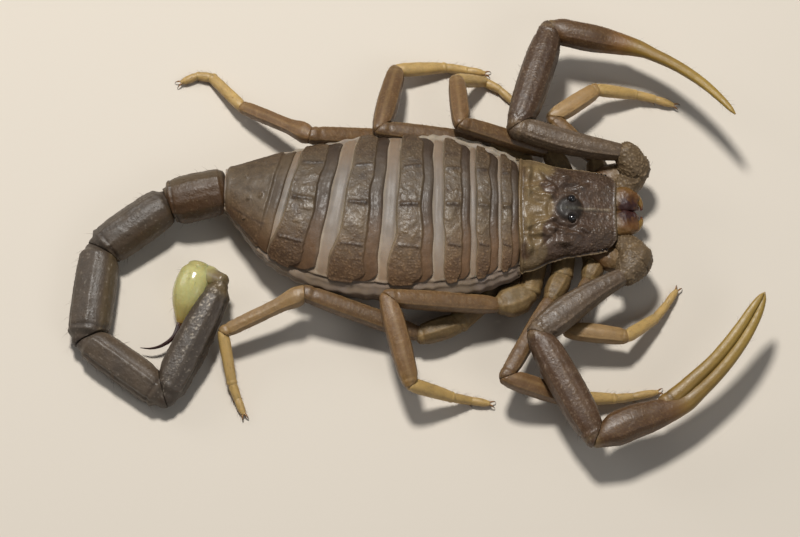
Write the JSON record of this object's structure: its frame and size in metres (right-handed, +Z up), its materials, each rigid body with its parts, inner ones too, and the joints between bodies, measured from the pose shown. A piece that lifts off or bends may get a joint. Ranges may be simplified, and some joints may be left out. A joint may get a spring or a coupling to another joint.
{
  "type": "scorpion model",
  "caption": "Life-size still model of a desert scorpion at rest, heavy oval trunk, slender curved pincers, legs spread and the tail curled round to one side.",
  "frame": {"origin": "middle of the footprint on the surface it stands on", "axes": "+X towards the head, along the longest extent; +Y towards the animal's left side; +Z up, the shortest extent"},
  "size_m": [0.0558, 0.0364, 0.0069],
  "materials": {
    "head_shield": "satin",
    "eye": "gloss",
    "back_plate": "satin",
    "membrane": "satin",
    "comb": "matte",
    "jaw": "satin",
    "tail_ring": "satin",
    "vesicle": "gloss",
    "sting": "gloss",
    "arm": "satin",
    "hand": "satin",
    "finger": "satin",
    "leg": "satin",
    "foot": "satin"
  },
  "bodies": {
    "root": {"carapace": "head_shield", "prosoma_underside": "membrane", "tergite_1": "back_plate", "tergite_2": "back_plate", "tergite_3": "back_plate", "tergite_4": "back_plate", "tergite_5": "back_plate", "tergite_6": "back_plate", "tergite_7": "back_plate", "mesosoma_body": "membrane", "eye_left": "eye", "eye_right": "eye", "pecten_left": "comb", "pecten_right": "comb", "chelicera_left": "jaw", "chelicera_right": "jaw", "metasoma_1": "tail_ring", "metasoma_2": "tail_ring", "metasoma_3": "tail_ring", "metasoma_4": "tail_ring", "metasoma_5": "tail_ring", "telson_vesicle": "vesicle", "aculeus": "sting", "pedipalp_left_trochanter": "arm", "pedipalp_left_femur": "arm", "pedipalp_left_patella": "arm", "pedipalp_left_hand_fixed_finger": "hand", "pedipalp_left_movable_finger": "finger", "pedipalp_right_trochanter": "arm", "pedipalp_right_femur": "arm", "pedipalp_right_patella": "arm", "pedipalp_right_hand_fixed_finger": "hand", "pedipalp_right_movable_finger": "finger", "leg_left_1_femur": "leg", "leg_left_1_patella": "leg", "leg_left_1_foot": "foot", "leg_right_1_femur": "leg", "leg_right_1_patella": "leg", "leg_right_1_foot": "foot", "leg_left_2_femur": "leg", "leg_left_2_patella": "leg", "leg_left_2_foot": "foot", "leg_right_2_femur": "leg", "leg_right_2_patella": "leg", "leg_right_2_foot": "foot", "leg_left_3_femur": "leg", "leg_left_3_patella": "leg", "leg_left_3_foot": "foot", "leg_right_3_femur": "leg", "leg_right_3_patella": "leg", "leg_right_3_foot": "foot", "leg_left_4_femur": "leg", "leg_left_4_patella": "leg", "leg_left_4_foot": "foot", "leg_right_4_femur": "leg", "leg_right_4_patella": "leg", "leg_right_4_foot": "foot"}
  },
  "joints": []
}
